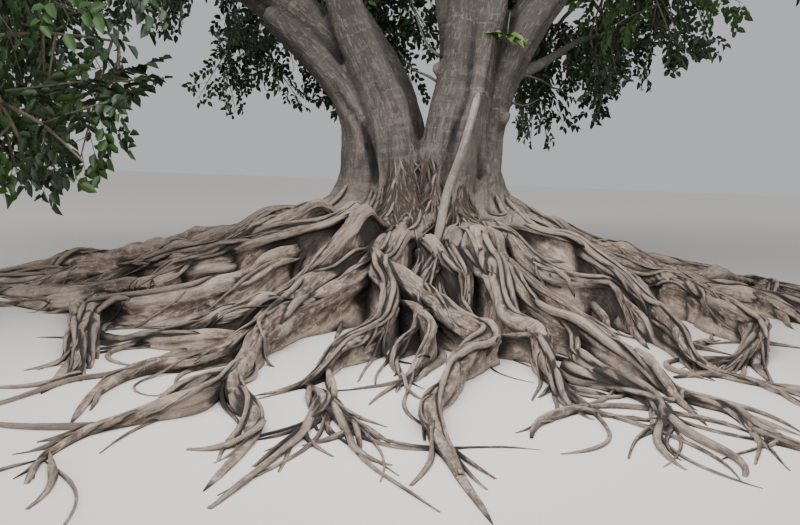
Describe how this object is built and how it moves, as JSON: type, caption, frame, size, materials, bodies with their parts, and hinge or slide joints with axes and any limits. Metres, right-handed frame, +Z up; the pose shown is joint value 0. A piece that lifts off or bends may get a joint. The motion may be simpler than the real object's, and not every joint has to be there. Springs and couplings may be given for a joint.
{
  "type": "banyan tree",
  "caption": "Broad banyan tree with a trunk of fused stems, a wide plate of winding surface roots, parted boughs and a full leafy crown.",
  "frame": {"origin": "on the trunk's axis, in the flat cut at ground level", "axes": "+Z up, -Y towards the front that the picture shows, +X to its right"},
  "size_m": [20.1828, 18.1832, 13.1139],
  "materials": {
    "bark": "smooth, wrinkled grey bark",
    "root_bark": "rough, fibrous grey bark",
    "aerial_root": "smooth, pale bark",
    "foliage": "glossy dark green leaves"
  },
  "bodies": {
    "root": {"aerial_root": "aerial_root", "bough_back": "bark", "bough_back_left": "bark", "bough_back_right": "bark", "bough_centre": "bark", "bough_left_inner": "bark", "bough_left_main": "bark", "bough_left_prop": "bark", "bough_right": "bark", "branch_right_low": "bark", "foliage_back_left": "foliage", "foliage_back_right": "foliage", "foliage_front": "foliage", "foliage_left": "foliage", "foliage_left_front": "foliage", "foliage_right": "foliage", "foliage_right_front": "foliage", "foliage_top": "foliage", "foliage_upper_back": "foliage", "foliage_upper_front": "foliage", "foliage_upper_left": "foliage", "foliage_upper_right": "foliage", "limb_front": "bark", "limb_left_front": "bark", "limb_right_front": "bark", "limb_upper_front": "bark", "limb_upper_right": "bark", "root_back_1": "root_bark", "root_back_2": "root_bark", "root_back_3": "root_bark", "root_back_4": "root_bark", "root_back_5": "root_bark", "root_back_6": "root_bark", "root_back_7": "root_bark", "root_back_8": "root_bark", "root_front_hook": "root_bark", "root_front_left": "root_bark", "root_front_left_outer": "root_bark", "root_front_leg": "root_bark", "root_front_middle": "root_bark", "root_front_right": "root_bark", "root_left_bend": "root_bark", "root_left_far": "root_bark", "root_left_lower": "root_bark", "root_left_upper": "root_bark", "root_right_curl": "root_bark", "root_right_far": "root_bark", "root_right_inner": "root_bark", "root_right_loop": "root_bark", "root_right_outer": "root_bark", "trunk": "bark"}
  },
  "joints": []
}
